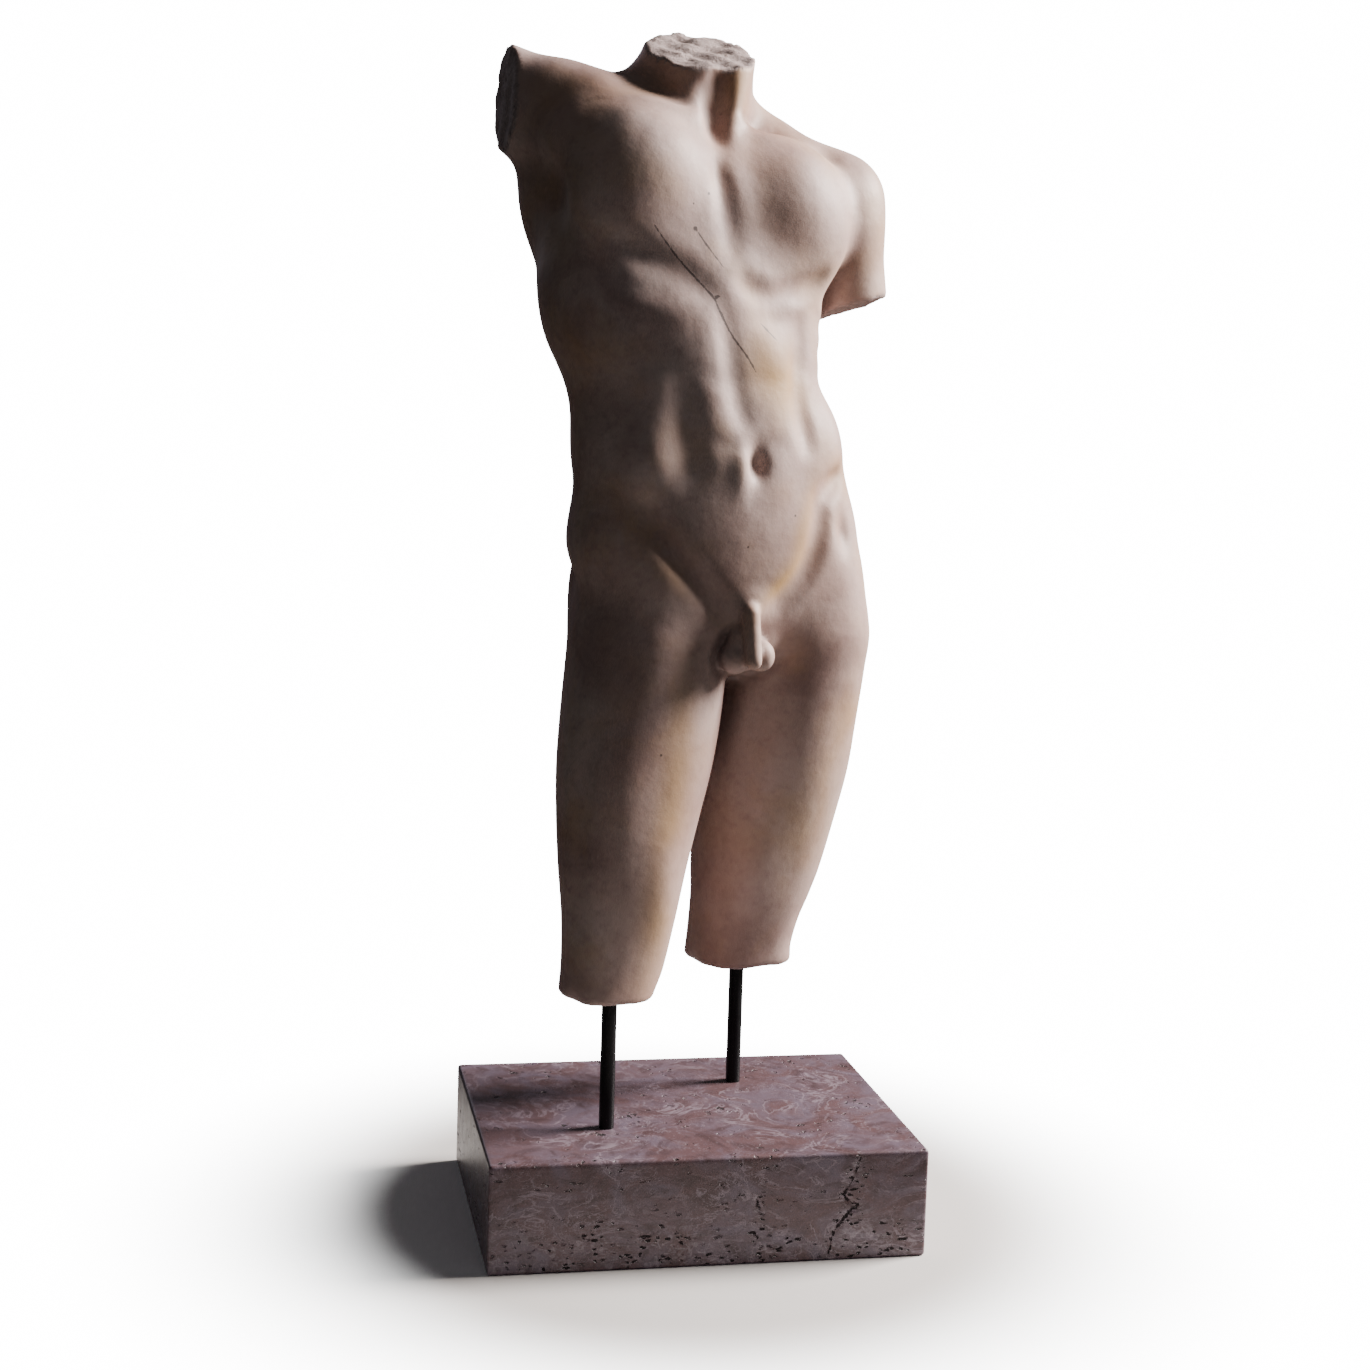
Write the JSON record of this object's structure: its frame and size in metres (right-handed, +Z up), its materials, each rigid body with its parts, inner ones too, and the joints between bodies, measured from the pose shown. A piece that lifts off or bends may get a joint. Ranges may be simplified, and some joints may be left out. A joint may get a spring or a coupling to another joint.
{
  "type": "marble torso sculpture",
  "caption": "Fragmentary standing nude male torso in weathered marble, held on slender black rods above a block of red travertine.",
  "frame": {"origin": "centre of the travertine block's underside", "axes": "+Z up; -Y towards someone facing the block's front, which the figure faces; +X to that person's right"},
  "size_m": [0.4, 0.3, 1.1041],
  "materials": {
    "marble": "weathered, soft satin, with ochre stains and grey veins; rougher and paler at the breaks",
    "travertine": "sawn and polished, with pores and cracks",
    "black_steel": "black satin"
  },
  "bodies": {
    "root": {"torso": "marble", "base": "travertine", "right_leg_rod": "black_steel", "left_leg_rod": "black_steel"}
  },
  "joints": []
}
